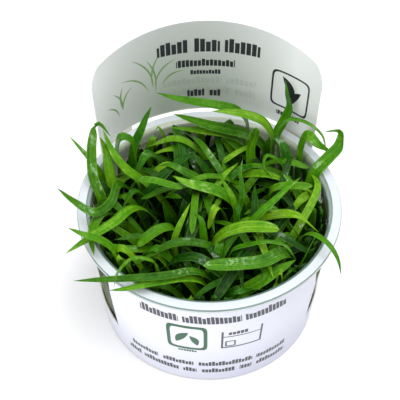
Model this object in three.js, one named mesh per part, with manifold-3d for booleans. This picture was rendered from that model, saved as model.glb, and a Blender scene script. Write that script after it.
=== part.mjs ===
// A clear plant cup with a wrap-round label card, a bed of growing gel and a tangle of
// dwarf sagittaria leaves. Millimetres, +Z up, origin at the centre of the cup's base.
// The front of the cup faces -Y; compass angles are degrees from +X towards +Y.
import * as THREE from "three";
import { mergeVertices } from "three/addons/utils/BufferGeometryUtils.js";
import Module from "manifold-3d";

const wasm = await Module();
wasm.setup();

// Cup
const CUP_HEIGHT = 48;
const CUP_BASE_RADIUS = 35.1;
const WALL_SLOPE = 0.12;
const WALL_KNEE = 31;
const UPPER_SLOPE = 0.024;
const WALL = 0.8;
const FLOOR = 1;
const BASE_CHAMFER = 0.7;
const FLOOR_CORNER = 0.8;
const FLANGE_RADIUS = 43;
const FLANGE_THICKNESS = 1;
const FLANGE_LIP = 1.8;
const FLANGE_SKIRT = 0.5;
const FLANGE_CHAMFER = 0.3;
const FLANGE_FILLET = 0.6;
const MOUTH_RADIUS = 40;
const MOUTH_BEVEL = 0.9;
const LID_SEAT_DEPTH = 4.2;
const LID_SEAT_STEP = 0.35;
const LID_SEAT_DRAFT = 0.1;
const LID_SEAT_TOP = 1.4;
const CUP_SIDES = 40;

// Label card
const CARD = 0.4;
const CARD_GAP = 0.3;
const CARD_FOOT = 0.4;
const CARD_TOP = 46;
const CARD_TURN = 3;
const HEADER_TURN = 1.5;
const FRONT_HALF_ANGLE = 57.5;
const WINDOW_BACK_ANGLE = 112;
const LEG_OUTER_ANGLE = 126;
const LEG_INNER_ANGLE = 145;
const WINDOW_SILL_FRONT = 11;
const WINDOW_SILL_BACK = 17;
const LEG_BLEND_ANGLE = 12;
const HEADER_BOTTOM = 48.2;
const HEADER_TOP = 85.4;
const HEADER_ARCH = 5.4;
const HEADER_RADIUS = 43.9;
const HEADER_LEAN = 0.08;
const HEADER_CORNER_ANGLE = 6;
const HEADER_CORNER_DROP = 7;
const FLARE_START = WALL_KNEE;
const FLARE_MIDDLE = 38;
const CARD_COLUMN_ANGLE = 8.5;
const LEG_COLUMNS = [118, 134.5, 151];
const CORNER_COLUMNS = [0.13, 0.4, 0.75];

// Growing gel
const GEL_TOP = 16;
const GEL_GAP = 0.3;
const GEL_SIDES = 32;

// Leaves
const BLADE_THICKNESS = 0.5;
const BLADE_CHANNEL = 0.1;
const BLADE_FOOT = 0.6;
const BLADE_FOOT_LENGTH = 0.35;
const BLUNT_START = 0.86;
const BLUNT_POWER = 2.5;
const TIP_START = 0.6;
const TIP_POWER = 3.2;
const FOOT_RISE = 2.5;
const BLADE_STEPS = 10;
const STEPS_PER_RING = 6;
const SAMPLE_STEP = 0.35;
const CLEARANCE = 1.1;
const SIBLING_CLEARANCE = 0.75;
const WALL_GAP = 0.5;
const FLANGE_GAP = 0.7;
const CARD_CLEARANCE = 1.2;
const FOOT_MOVE_RADII = [1.5, 3, 4.5, 6, 8, 10];
const LIFT_STEP = 0.5;
const MOST_LIFTS = 18;
const FREE_HEIGHT = 28;
const LIFT_WAYS = [[0, -0.66, 0.75], [0, 0, 1], [0.4, -0.4, 0.8], [-0.4, -0.4, 0.8], [0, 0.3, 0.95]]
  .map((way) => new THREE.Vector3(...way));

// Young plants: a short stem base with small leaves round it, fused as they grow.
const CROWN_BLADES = 7;
const CROWN_BLADE_STEPS = 4;
const CROWN_BASE_RADIUS = 3;
const CROWN_BASE_HEIGHT = 2.4;
const CROWN_BASE_SIDES = 7;
const CROWN_FREE_HEIGHT = 4;
const FUSED_HEIGHT = 8;
const OUTER_CROWNS = 8;
const OUTER_CROWN_RING = 27;
const OUTER_CROWN_START = 20;
const INNER_CROWNS = 3;
const INNER_CROWN_RING = 13;
const INNER_CROWN_START = -75;
const YOUNG_LEAF_WIDTH = 2.3;
const YOUNG_LEAF_WIDTH_RANGE = 0.9;
const YOUNG_LEAF_HEIGHT = 35;
const YOUNG_LEAF_HEIGHT_RANGE = 9;
const SHORTEST_YOUNG_LEAF = 11;
const YOUNG_LEAF_HEIGHT_STEP = 1.5;
const YOUNG_LEAF_SWINGS = [0, 12, -12, 24, -24];
const YOUNG_LEAF_REACH = 0.16;
const YOUNG_LEAF_REACH_RANGE = 0.14;
const YOUNG_LEAF_INWARD = 0.45;
const YOUNG_LEAF_TWIST = 50;
const GOLDEN = 0.618;
const WIDTH_CYCLE = 0.33;
const HEIGHT_CYCLE = 0.37;
const REACH_CYCLE = 0.29;

const UP = new THREE.Vector3(0, 0, 1);
const radians = THREE.MathUtils.degToRad;
const smooth = (from, to, value) => THREE.MathUtils.smoothstep(value, from, to);
const share = (n, step) => (n * step) % 1;
const part = new THREE.Group();

function add(name, geometry, color, roughness = 0.5) {
  const material = new THREE.MeshStandardMaterial({ color, roughness, metalness: 0 });
  const mesh = new THREE.Mesh(geometry, material);
  mesh.name = name;
  part.add(mesh);
}

// A lathe about Z from a list of [radius, height] points.
function turned(profile, sides) {
  const points = profile.map(([radius, height]) => new THREE.Vector2(radius, height));
  return new THREE.LatheGeometry(points, sides).rotateX(Math.PI / 2);
}

const outerWall = (height) => CUP_BASE_RADIUS + WALL_SLOPE * Math.min(height, WALL_KNEE)
  + UPPER_SLOPE * Math.max(0, height - WALL_KNEE);
const innerWall = (height) => outerWall(height) - WALL;

function cup() {
  const underFlange = CUP_HEIGHT - FLANGE_THICKNESS;
  const lip = CUP_HEIGHT - FLANGE_LIP;
  const seat = CUP_HEIGHT - LID_SEAT_DEPTH;
  const seatRadius = innerWall(seat) + LID_SEAT_STEP;
  return turned([
    [0, 0],
    [CUP_BASE_RADIUS - BASE_CHAMFER, 0],
    [outerWall(BASE_CHAMFER), BASE_CHAMFER],
    [outerWall(WALL_KNEE), WALL_KNEE],
    [outerWall(underFlange - FLANGE_FILLET), underFlange - FLANGE_FILLET],
    [MOUTH_RADIUS, underFlange],
    [FLANGE_RADIUS - FLANGE_SKIRT, underFlange],
    [FLANGE_RADIUS - FLANGE_SKIRT, lip],
    [FLANGE_RADIUS, lip],
    [FLANGE_RADIUS, CUP_HEIGHT - FLANGE_CHAMFER],
    [FLANGE_RADIUS - FLANGE_CHAMFER, CUP_HEIGHT],
    [MOUTH_RADIUS, CUP_HEIGHT],
    [MOUTH_RADIUS - MOUTH_BEVEL, CUP_HEIGHT - MOUTH_BEVEL / 2],
    [seatRadius, CUP_HEIGHT - LID_SEAT_TOP],
    [seatRadius - LID_SEAT_DRAFT, seat],
    [innerWall(seat - LID_SEAT_STEP), seat - LID_SEAT_STEP],
    [innerWall(WALL_KNEE), WALL_KNEE],
    [innerWall(FLOOR + FLOOR_CORNER), FLOOR + FLOOR_CORNER],
    [innerWall(FLOOR) - FLOOR_CORNER, FLOOR],
    [0, FLOOR],
  ], CUP_SIDES);
}

function gel() {
  const radius = (height) => innerWall(height) - GEL_GAP;
  return turned([
    [0, FLOOR],
    [radius(FLOOR) - FLOOR_CORNER, FLOOR],
    [radius(FLOOR + FLOOR_CORNER), FLOOR + FLOOR_CORNER],
    [radius(GEL_TOP), GEL_TOP],
    [0, GEL_TOP],
  ], GEL_SIDES);
}

// The card's inner face: the cup's cone below, and at the legs and in the header a wider
// curve that passes outside the flange. bearing is the angle from the front of the label.
function cardRadius(bearing, height) {
  const wall = outerWall(height) + CARD_GAP;
  const header = HEADER_RADIUS + HEADER_LEAN * Math.max(0, height - CARD_TOP);
  if (height > CARD_TOP) return header;
  const leg = smooth(WINDOW_BACK_ANGLE, LEG_OUTER_ANGLE, bearing)
    * (1 - smooth(LEG_INNER_ANGLE, LEG_INNER_ANGLE + LEG_BLEND_ANGLE, bearing));
  return wall + (header - wall) * leg * smooth(FLARE_START, CARD_TOP, height);
}

// The card stands slightly turned on the cup, the header less than the front.
const cardTurn = (height) => THREE.MathUtils.lerp(CARD_TURN, HEADER_TURN,
  smooth(FLARE_START, HEADER_BOTTOM, height));

// The card is a closed sheet over a grid of bearings and heights, with cells left out
// for the side windows and for the slot that the flange sticks through.
function labelCard() {
  const breaks = [FRONT_HALF_ANGLE, WINDOW_BACK_ANGLE, LEG_OUTER_ANGLE, LEG_INNER_ANGLE,
    LEG_INNER_ANGLE + LEG_BLEND_ANGLE, ...LEG_COLUMNS, 180].sort((a, b) => a - b);
  const halfTurn = [0];
  let last = 0;
  for (const stop of breaks) {
    const pieces = Math.max(1, Math.round((stop - last) / CARD_COLUMN_ANGLE));
    for (let i = 1; i <= pieces; i++) halfTurn.push(last + (stop - last) * i / pieces);
    last = stop;
  }
  for (const fraction of CORNER_COLUMNS) halfTurn.push(LEG_OUTER_ANGLE + HEADER_CORNER_ANGLE * fraction);
  halfTurn.sort((a, b) => a - b);
  const bearings = [...halfTurn, ...halfTurn.slice(1, -1).reverse().map((b) => -b)];

  const sill = (b) => THREE.MathUtils.lerp(WINDOW_SILL_FRONT, WINDOW_SILL_BACK,
    THREE.MathUtils.clamp((b - FRONT_HALF_ANGLE) / (WINDOW_BACK_ANGLE - FRONT_HALF_ANGLE), 0, 1));
  const headerTop = (b) => {
    const inside = Math.max(0, b - LEG_OUTER_ANGLE);
    const arch = 1 - inside / (180 - LEG_OUTER_ANGLE);
    const corner = Math.max(0, 1 - inside / HEADER_CORNER_ANGLE);
    return HEADER_TOP - HEADER_ARCH * arch * arch
      - HEADER_CORNER_DROP * (1 - Math.sqrt(1 - corner * corner));
  };
  const rows = [() => CARD_FOOT, sill, () => FLARE_START, () => FLARE_MIDDLE, () => CARD_TOP,
    () => HEADER_BOTTOM, headerTop];
  const isCard = (b, row) => {
    if (row === 0) return true;
    const inWindow = b > FRONT_HALF_ANGLE && b < WINDOW_BACK_ANGLE;
    const inLeg = b > LEG_OUTER_ANGLE && b < LEG_INNER_ANGLE;
    if (row < 4) return !inWindow;
    return row === 4 ? inLeg : b > LEG_OUTER_ANGLE;
  };

  const count = bearings.length;
  const vertices = [];
  const corner = (column, row, side) => (((column + count) % count) * rows.length + row) * 2 + side;
  for (const bearing of bearings) {
    for (const height of rows) {
      const b = Math.abs(bearing);
      const z = height(b);
      for (const side of [0, 1]) {
        const radius = cardRadius(b, z) + side * CARD;
        const angle = radians(bearing + cardTurn(z));
        vertices.push(radius * Math.sin(angle), -radius * Math.cos(angle), z);
      }
    }
  }
  const middle = (column) => {
    const next = bearings[(column + 1) % count];
    const here = bearings[(column + count) % count];
    return Math.abs(here) === 180 || Math.abs(next) === 180
      ? (Math.abs(here) + Math.abs(next)) / 2 : Math.abs((here + next) / 2);
  };
  const present = (column, row) => row >= 0 && row < rows.length - 1 && isCard(middle(column), row);
  const faces = [];
  const quad = (a, b, c, d) => faces.push(a, b, c, a, c, d);
  for (let i = 0; i < count; i++) {
    for (let row = 0; row < rows.length - 1; row++) {
      if (!present(i, row)) continue;
      const [a, b, c, d] = [[i, row], [i + 1, row], [i + 1, row + 1], [i, row + 1]]
        .map(([column, level]) => [corner(column, level, 0), corner(column, level, 1)]);
      quad(a[1], b[1], c[1], d[1]);
      quad(a[0], d[0], c[0], b[0]);
      if (!present(i, row - 1)) quad(a[0], b[0], b[1], a[1]);
      if (!present(i, row + 1)) quad(c[0], d[0], d[1], c[1]);
      if (!present(i - 1, row)) quad(d[0], a[0], a[1], d[1]);
      if (!present(i + 1, row)) quad(b[0], c[0], c[1], b[1]);
    }
  }
  return compact(vertices, faces);
}

// Keeps only the vertices that the faces use.
function compact(vertices, faces) {
  const index = new Map();
  const kept = [];
  const renumbered = faces.map((v) => {
    if (!index.has(v)) {
      index.set(v, kept.length / 3);
      kept.push(vertices[3 * v], vertices[3 * v + 1], vertices[3 * v + 2]);
    }
    return index.get(v);
  });
  const geometry = new THREE.BufferGeometry();
  geometry.setAttribute("position", new THREE.Float32BufferAttribute(kept, 3));
  geometry.setIndex(renumbered);
  return geometry;
}

// Half width of a blade along its length, as a share of its widest half width.
function bladeShape(t, blunt) {
  const foot = BLADE_FOOT + (1 - BLADE_FOOT) * smooth(0, BLADE_FOOT_LENGTH, t);
  if (!blunt) return foot * (1 - Math.max(0, (t - TIP_START) / (1 - TIP_START)) ** TIP_POWER);
  return foot * Math.sqrt(1 - Math.max(0, (t - BLUNT_START) / (1 - BLUNT_START)) ** BLUNT_POWER);
}

// Centre line of a blade with the direction of its width carried along it without spin,
// then turned by twist degrees from foot to tip.
function bladeFrames(points, across, twist, steps) {
  const [root, ...route] = points;
  const rise = root.clone().addScaledVector(UP, FOOT_RISE);
  const curve = new THREE.CatmullRomCurve3([root, rise, ...route], false, "centripetal");
  const frames = [];
  let width = new THREE.Vector3(Math.cos(across), Math.sin(across), 0);
  for (let i = 0; i <= steps; i++) {
    const t = i / steps;
    const tangent = i === 0 ? UP.clone() : curve.getTangentAt(t);
    width = width.clone().addScaledVector(tangent, -width.dot(tangent)).normalize();
    const turnedWidth = width.clone().applyAxisAngle(tangent, radians(twist) * smooth(0.1, 0.9, t));
    const normal = new THREE.Vector3().crossVectors(tangent, turnedWidth);
    frames.push({ t, centre: curve.getPointAt(t), width: turnedWidth, normal });
  }
  return frames;
}

// Closed blade of four-cornered rings: two edges, a raised and a lowered midline.
function bladeMesh(frames, width, blunt, everyNth) {
  const rings = frames.filter((frame, i) => i % everyNth === 0);
  const tip = rings.pop();
  if (blunt) rings.push(frames[frames.length - 2]);
  const vertices = [];
  const faces = [];
  for (const { t, centre, width: side, normal } of rings) {
    const half = width / 2 * bladeShape(t, blunt);
    const lift = BLADE_CHANNEL * half * 2;
    const edge = (sign) => centre.clone().addScaledVector(side, sign * half).addScaledVector(normal, lift);
    const middle = (sign) => centre.clone().addScaledVector(normal, sign * BLADE_THICKNESS / 2);
    for (const corner of [edge(1), middle(1), edge(-1), middle(-1)]) vertices.push(...corner);
  }
  for (let ring = 0; ring < rings.length - 1; ring++) {
    for (let k = 0; k < 4; k++) {
      const a = ring * 4 + k;
      const b = ring * 4 + (k + 1) % 4;
      faces.push(a, b, b + 4, a, b + 4, a + 4);
    }
  }
  vertices.push(...tip.centre);
  const point = rings.length * 4;
  for (let k = 0; k < 4; k++) faces.push(point - 4 + k, point - 4 + (k + 1) % 4, point);
  faces.push(0, 3, 2, 0, 2, 1);
  return compact(vertices, faces);
}

// What already stands in the cup, as points a millimetre or less apart in a coarse grid.
const taken = new Map();
const GRID = 256;
const cell = (v) => Math.floor(v / CLEARANCE) + GRID / 2;
const cellKey = (p, i, j, k) => ((cell(p.x) + i) * GRID + cell(p.y) + j) * GRID + cell(p.z) + k;
function bladeSamples(frames, width, blunt) {
  const samples = [];
  for (const { t, centre, width: side, normal } of frames) {
    const half = width / 2 * bladeShape(t, blunt);
    const steps = Math.max(1, Math.ceil(half / SAMPLE_STEP));
    for (let i = -steps; i <= steps; i++) {
      const out = i / steps;
      samples.push(centre.clone().addScaledVector(side, half * out)
        .addScaledVector(normal, BLADE_CHANNEL * half * 2 * Math.abs(out)));
    }
  }
  return samples;
}
function meetsCup(p) {
  const radius = Math.hypot(p.x, p.y);
  const seat = CUP_HEIGHT - LID_SEAT_DEPTH;
  if (p.z < CUP_HEIGHT + FLANGE_GAP && radius > innerWall(Math.min(p.z, seat)) - WALL_GAP
    && radius < FLANGE_RADIUS + FLANGE_GAP) return true;
  const bearing = Math.abs(Math.atan2(p.x, -p.y) * 180 / Math.PI - cardTurn(p.z));
  const card = HEADER_RADIUS + HEADER_LEAN * (p.z - CARD_TOP);
  return bearing > LEG_OUTER_ANGLE - 2 && p.z > CARD_TOP - 2 && p.z < HEADER_TOP + 1
    && Math.abs(radius - card) < CARD_CLEARANCE;
}
const BESIDE = [-1, 0, 1];
const NEIGHBOURS = BESIDE.flatMap((i) => BESIDE.flatMap((j) => BESIDE.map((k) => [i, j, k])));
function meetsLeaf(p, owner = null) {
  for (const [i, j, k] of NEIGHBOURS) {
    const near = taken.get(cellKey(p, i, j, k));
    const met = near && near.find((q) => {
      const gap = q.owner === owner ? SIBLING_CLEARANCE : CLEARANCE;
      return q.distanceToSquared(p) < gap * gap;
    });
    if (met) return met.owner;
  }
  return null;
}
function claim(samples, owner) {
  for (const p of samples) {
    const key = cellKey(p, 0, 0, 0);
    if (!taken.has(key)) taken.set(key, []);
    p.owner = owner;
    taken.get(key).push(p);
  }
}

function solid(geometry) {
  geometry.deleteAttribute("normal");
  geometry.deleteAttribute("uv");
  const merged = mergeVertices(geometry, 1e-4);
  return new wasm.Manifold(new wasm.Mesh({
    numProp: 3,
    vertProperties: new Float32Array(merged.attributes.position.array),
    triVerts: new Uint32Array(merged.index.array),
  }));
}

function geometryOf(manifold) {
  const mesh = manifold.getMesh();
  const geometry = new THREE.BufferGeometry();
  geometry.setAttribute("position", new THREE.BufferAttribute(mesh.vertProperties, 3));
  geometry.setIndex(new THREE.BufferAttribute(mesh.triVerts, 1));
  return geometry;
}

// Long leaves, lowest first: name, width, foot on the gel [x, y], then the points that the
// leaf passes through [x, y, z]. Each one lies on those before it.
const LEAVES = [
  ["back_wall_leaf", 2.6, [-3, 30], [[-5, 30, 42], [-10, 30, 48], [-15, 31, 46], [-19, 30, 42]]],
  ["back_left_lance", 3.2, [-25, 18], [[-26, 22, 40], [-25, 24, 50], [-23, 25.5, 55], [-21, 27, 60],
    [-19, 28, 65]]],
  ["back_left_arch", 3.4, [-20, 21], [[-30, 20, 44], [-30, 22, 55], [-27, 22, 58], [-25, 21, 51],
    [-24, 19, 44]]],
  ["left_tall_fold", 3.4, [-31, 2], [[-33, 3, 36], [-35, 4, 46], [-38, 9, 53], [-38, 15, 60], [-37, 19, 66],
    [-35, 18, 66], [-32, 17, 62]]],
  ["left_rim_broad", 3.8, [-29, 8], [[-31, 9, 38], [-32, 10, 46], [-33, 12, 51], [-34, 17, 55],
    [-36, 20, 59]]],
  ["left_side_broad", 3.8, [-28, -2], [[-30, -2, 36], [-31, -3, 46], [-34, -6, 50], [-36, -11, 52],
    [-37, -18, 52], [-36, -24, 51]]],
  ["left_cross", 3.0, [-22, 10], [[-23, 12, 36],
    [-24.6, 12.9, 45], [-26.9, 13.4, 47], [-30.8, 15.1, 51], [-34.1, 19, 55], [-36.1, 23, 58]]],
  ["left_fold", 3.2, [-20, 14], [[-29, 12, 40], [-31, 6, 50], [-33, -3, 51], [-37, -8, 52], [-43, -6, 54],
    [-50, 0, 55]]],
  ["left_back_tip", 2.4, [-27, 11], [[-34, 13, 42], [-37, 14, 50], [-46, 21, 58]]],
  ["dark_middle", 3.2, [4, 13], [[3, 15, 38], [-1, 17, 46], [-6, 21, 51]]],
  ["grey_middle", 3.4, [5, 7], [[3, 9, 38], [-3, 12, 46], [-9, 13, 50], [-14, 15, 51], [-17, 16, 49]]],
  ["pale_left", 3.4, [-14, 19], [[-16, 20, 40], [-19, 21, 50], [-21, 19, 51], [-25, 15, 44]]],
  ["cut_left", 3.2, [-25, 13], [[-28, 11, 40], [-25, 9, 48], [-19, 6, 50], [-11, 4, 49]], { blunt: true }],
  ["left_long", 3.6, [-16, 4], [[-20, 3, 38], [-26, -1, 46], [-31, -10, 50], [-38, -17, 51], [-46, -24, 51]]],
  ["sagging_left", 3.0, [-12, -12], [[-14, -12, 36], [-19, -15, 43], [-26, -18, 47], [-33, -18, 50]]],
  ["left_tip", 3.4, [-22, -18], [[-28, -18, 40], [-31, -17, 47], [-35, -17, 51], [-39, -17, 53],
    [-44, -15, 54]]],
  ["big_bright", 4.4, [11, 2], [[10, 4, 36], [6, 5, 46], [0, 5, 50], [-6, 5, 52], [-12, 8, 53]]],
  ["right_dark", 4.2, [26, 13], [[26, 16, 36], [26, 19, 48], [24, 22, 54], [21, 24, 55]]],
  ["right_green", 3.4, [31, 0], [[31, 1, 34], [31, 3, 43], [27, 7, 50], [24, 10, 52]]],
  ["right_pale", 2.8, [17, 6], [[20, 7, 38], [23, 8, 46], [29, 6, 49], [35, 5, 50]], { blunt: true }],
  ["right_tip_up", 2.8, [30, -8], [[30, -10, 34], [29, -11, 44], [25, -10, 51]]],
  ["under_blunt", 3.6, [1, -22], [[1, -20, 34], [4, -18, 45], [7, -16, 49], [10, -14, 50]]],
  ["back_arc", 3.4, [16, 24], [[15, 27, 42], [9, 28, 50], [-1, 28, 53], [-13, 29, 54]]],
  ["back_broad", 5.2, [18, 20], [[19, 24, 40], [17, 27, 49], [10, 28, 52.5], [2, 28.5, 54.5],
    [-5, 29.5, 56.5], [-12, 29.5, 60]]],
  ["right_upright", 3.6, [16, 25], [[20, 29, 42], [24, 31, 52], [27, 32, 60], [26, 32, 66], [25, 33, 72]]],
  ["back_bundle", 4.4, [22, 24], [[23, 27, 40], [23, 29, 48], [20, 30.5, 53], [15, 31, 55.5],
    [9, 31.5, 56.5], [3, 31, 57.5]]],
  ["top_left", 4.0, [13, 29], [[13, 31.5, 43], [12, 32.5, 51], [7, 32, 55], [0, 32, 57], [-7, 32.5, 58],
    [-12, 32.5, 59.5], [-18, 33, 61.5]]],
  ["back_right_fold", 3.8, [14, 19], [[14, 22, 40], [14, 26, 50], [16, 27, 55], [14, 25, 56], [12, 22, 53]]],
  ["curled_leaf", 2.0, [28, 10], [[27, 12, 38], [25, 15, 48], [22, 16, 53], [19, 16, 54], [17, 14, 53],
    [19, 12, 51], [21, 11, 48]]],
  ["s_curve", 1.8, [6, -2], [[7, 0, 36], [10, 2, 45], [11, 5, 49], [10, 8, 52], [11, 13, 56]]],
  ["narrow_bright", 2.4, [10, 0], [[9, 1, 38], [8, 2, 47], [5, 5, 52], [3, 7, 55]]],
  ["striped_upright", 2.8, [-2, -14], [[-2, -13, 36], [-2, -12, 46], [-3, -9, 52], [-5, -7, 52]]],
  ["folded_left", 3.8, [-9, -7], [[-10, -8, 36], [-11, -9, 46], [-15, -12, 50], [-19, -15, 50],
    [-23, -17, 47]], { blunt: true }],
  ["thin_upright", 2.2, [-9, -20], [[-9, -18, 34], [-11, -16, 43], [-11, -14, 48], [-9, -12, 53],
    [-6, -8, 58]]],
  ["front_right_broad", 4.7, [3, -29], [[5, -31, 36], [14, -31, 45], [22, -27, 48], [27, -24, 49]]],
  ["front_cut", 4.4, [26, -14], [[26, -18, 36],
    [23.4, -22.9, 46.5], [16.2, -28.9, 49.5], [7.8, -30.5, 50], [-2.1, -31.7, 51]],
    { blunt: true }],
  ["front_right_arc", 2.2, [4, -17], [[5, -19, 38], [8, -21, 48], [14, -21, 50], [20, -21, 51],
    [25, -23, 50], [27, -25, 47]]],
  ["front_left_low", 3.0, [1, -27], [[0, -28, 38], [-5, -30, 47], [-18, -35, 51], [-25, -37, 51],
    [-31, -37, 50]]],
  ["front_left_long", 2.8, [4, -22], [[2, -25, 38], [-4, -28, 48], [-15, -33, 52], [-27, -34, 52],
    [-42, -34, 51]]],
  ["rim_arch", 2.2, [-15, -26], [[-16, -29, 38],
    [-17.8, -32.5, 50], [-22.4, -32.5, 51.5], [-26.3, -34.8, 50.5], [-28.6, -36.8, 47], [-29.3, -37.6, 43]]],
  ["right_overhang", 2.2, [26, -10], [[28, -12, 40], [30, -13, 48], [32, -15, 51], [36, -19, 52],
    [39, -23, 51], [41, -27, 45]]],
  ["right_arch", 2.6, [23, 22], [[23, 25, 42], [22, 27, 53], [25, 28, 58], [30, 27, 59], [34, 25, 57],
    [38, 22, 54], [38, 19, 51]]],
  ["right_fold", 4.2, [30, 9], [[33, 11, 40], [35, 13, 49], [41, 16, 56], [44, 18, 61], [42, 19, 63],
    [37, 19, 62]]],
  ["right_broad", 4.4, [27, 13], [[30, 18, 38], [31, 20, 46], [32, 23, 53], [34, 22, 57], [37, 19, 55],
    [41, 18, 53]]],
  ["bright_blunt", 5.2, [-2, -12], [[0, -13, 41], [5, -15, 51], [11, -15, 54], [17, -15, 54],
    [22, -15, 53]], { blunt: true }],
  ["thin_long_right", 2.6, [8, -12], [[10, -10, 38], [13, -9, 49], [18, -7, 54], [24, -3, 58],
    [29, 0, 61]]],
];

// A leaf is set down where it is listed, then raised onto its neighbours, with its foot
// moved between theirs, until it clears the cup, the card and every leaf before it.
const FOOT_MOVES = [[0, 0]];
for (const radius of FOOT_MOVE_RADII) {
  for (let i = 0; i < 8; i++) {
    const angle = i * Math.PI / 4 + radius;
    FOOT_MOVES.push([radius * Math.cos(angle), radius * Math.sin(angle)]);
  }
}
const LIFTS = [new THREE.Vector3()];
for (let step = 1; step <= MOST_LIFTS; step++) {
  for (const way of LIFT_WAYS) LIFTS.push(way.clone().multiplyScalar(step * LIFT_STEP));
}

function settle([name, width, foot, route, { blunt = false } = {}]) {
  const tip = route[route.length - 1];
  const across = Math.atan2(tip[1] - foot[1], tip[0] - foot[0]) + Math.PI / 2;
  for (const lift of LIFTS) {
    for (const [dx, dy] of FOOT_MOVES) {
      const root = new THREE.Vector3(foot[0] + dx, foot[1] + dy, GEL_TOP);
      if (Math.hypot(root.x, root.y) > innerWall(GEL_TOP) - width / 2 - WALL_GAP) continue;
      const points = [root, ...route.map(([x, y, z]) => {
        const free = Math.min(1, (z - GEL_TOP) / FREE_HEIGHT);
        return new THREE.Vector3(x + dx * (1 - free), y + dy * (1 - free), z).addScaledVector(lift, free);
      })];
      const frames = bladeFrames(points, across, 0, BLADE_STEPS * STEPS_PER_RING);
      const samples = bladeSamples(frames, width, blunt);
      if (samples.some((p) => meetsCup(p) || meetsLeaf(p))) continue;
      claim(samples, name);
      return bladeMesh(frames, width, blunt, STEPS_PER_RING);
    }
  }
  throw new Error(`${name} finds no room`);
}

// The young plants fill the room that the long leaves leave: each leaf is as tall as fits.
function crownPlaces() {
  const ring = (count, radius, start) => Array.from({ length: count }, (_, i) => {
    const angle = radians(start + i * 360 / count);
    return [radius * Math.cos(angle), radius * Math.sin(angle)];
  });
  return [...ring(OUTER_CROWNS, OUTER_CROWN_RING, OUTER_CROWN_START),
    ...ring(INNER_CROWNS, INNER_CROWN_RING, INNER_CROWN_START)];
}

// The nearest place to [x, y] where a stem base stands free.
function crownBase(x, y, n) {
  for (const [dx, dy] of FOOT_MOVES) {
    const centre = new THREE.Vector3(x + dx, y + dy, GEL_TOP);
    const rim = [];
    for (let angle = 0; angle < 360; angle += 15) {
      for (const radius of [0, CROWN_BASE_RADIUS / 2, CROWN_BASE_RADIUS]) {
        for (let height = 0; height <= CROWN_FREE_HEIGHT; height++) {
          rim.push(new THREE.Vector3(radius, 0, height).applyAxisAngle(UP, radians(angle)).add(centre));
        }
      }
    }
    if (!rim.some(meetsCup) && !rim.some((p) => meetsLeaf(p))) return centre;
  }
  throw new Error(`young plant ${n + 1} finds no room`);
}

function youngLeafPath(centre, heading, height, reach) {
  const at = (r, z) => new THREE.Vector3(r * Math.cos(heading), r * Math.sin(heading), z).add(centre);
  const foot = CROWN_BASE_RADIUS - 1;
  return [at(foot, 0.9), at(foot + 1, height * 0.4), at(foot + 0.4 * reach, height * 0.8),
    at(reach + 1, height)];
}

function youngLeaf(centre, n, j, owner) {
  const width = YOUNG_LEAF_WIDTH + YOUNG_LEAF_WIDTH_RANGE * share(3 * n + j, WIDTH_CYCLE);
  const twist = YOUNG_LEAF_TWIST * (share(n + 4 * j, REACH_CYCLE) - 0.5);
  const outward = Math.atan2(centre.y, centre.x);
  const tallest = YOUNG_LEAF_HEIGHT - YOUNG_LEAF_HEIGHT_RANGE * share(n + j, HEIGHT_CYCLE);
  const slant = YOUNG_LEAF_REACH + YOUNG_LEAF_REACH_RANGE * share(n + 2 * j, REACH_CYCLE);
  const blocked = (p) => {
    if (meetsCup(p)) return true;
    if (p.z >= GEL_TOP + FUSED_HEIGHT) return meetsLeaf(p, owner) !== null;
    return ![null, owner].includes(meetsLeaf(p));
  };
  for (let height = tallest; height > SHORTEST_YOUNG_LEAF; height -= YOUNG_LEAF_HEIGHT_STEP) {
    for (const swing of YOUNG_LEAF_SWINGS) {
      const heading = radians(j * 360 / CROWN_BLADES + share(n, GOLDEN) * 360 + swing);
      const reach = (1.5 + height * slant) * (1 - YOUNG_LEAF_INWARD * Math.cos(heading - outward));
      const frames = bladeFrames(youngLeafPath(centre, heading, height, reach), heading + Math.PI / 2,
        twist, CROWN_BLADE_STEPS * STEPS_PER_RING);
      const samples = bladeSamples(frames, width, false);
      if (!samples.some(blocked)) return { frames, samples, width };
    }
  }
  return null;
}

function crown(x, y, n) {
  const centre = crownBase(x, y, n);
  const owner = `young plant ${n + 1}`;
  let plant = solid(turned([
    [0, 0],
    [CROWN_BASE_RADIUS, 0],
    [CROWN_BASE_RADIUS * 0.8, CROWN_BASE_HEIGHT],
    [0, CROWN_BASE_HEIGHT],
  ], CROWN_BASE_SIDES).translate(centre.x, centre.y, centre.z));
  for (let j = 0; j < CROWN_BLADES; j++) {
    const leaf = youngLeaf(centre, n, j, owner);
    if (!leaf) continue;
    plant = plant.add(solid(bladeMesh(leaf.frames, leaf.width, false, STEPS_PER_RING)));
    claim(leaf.samples, owner);
  }
  return geometryOf(plant);
}

add("cup", cup(), 0xd9e4e0, 0.15);
add("label_card", labelCard(), 0xe9ebf2, 0.6);
add("growing_gel", gel(), 0x7a6a3c, 0.35);
const GREENS = [0x4f9d1f, 0x3c861b, 0x62ab2c, 0x2f7418];
LEAVES.forEach((leaf, n) => {
  add(`leaf_${leaf[0]}`, settle(leaf), GREENS[n % GREENS.length]);
});
crownPlaces().forEach(([x, y], n) => {
  add(`young_plant_${String(n + 1).padStart(2, "0")}`, crown(x, y, n), 0x3f8a1c);
});

export default part;
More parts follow.
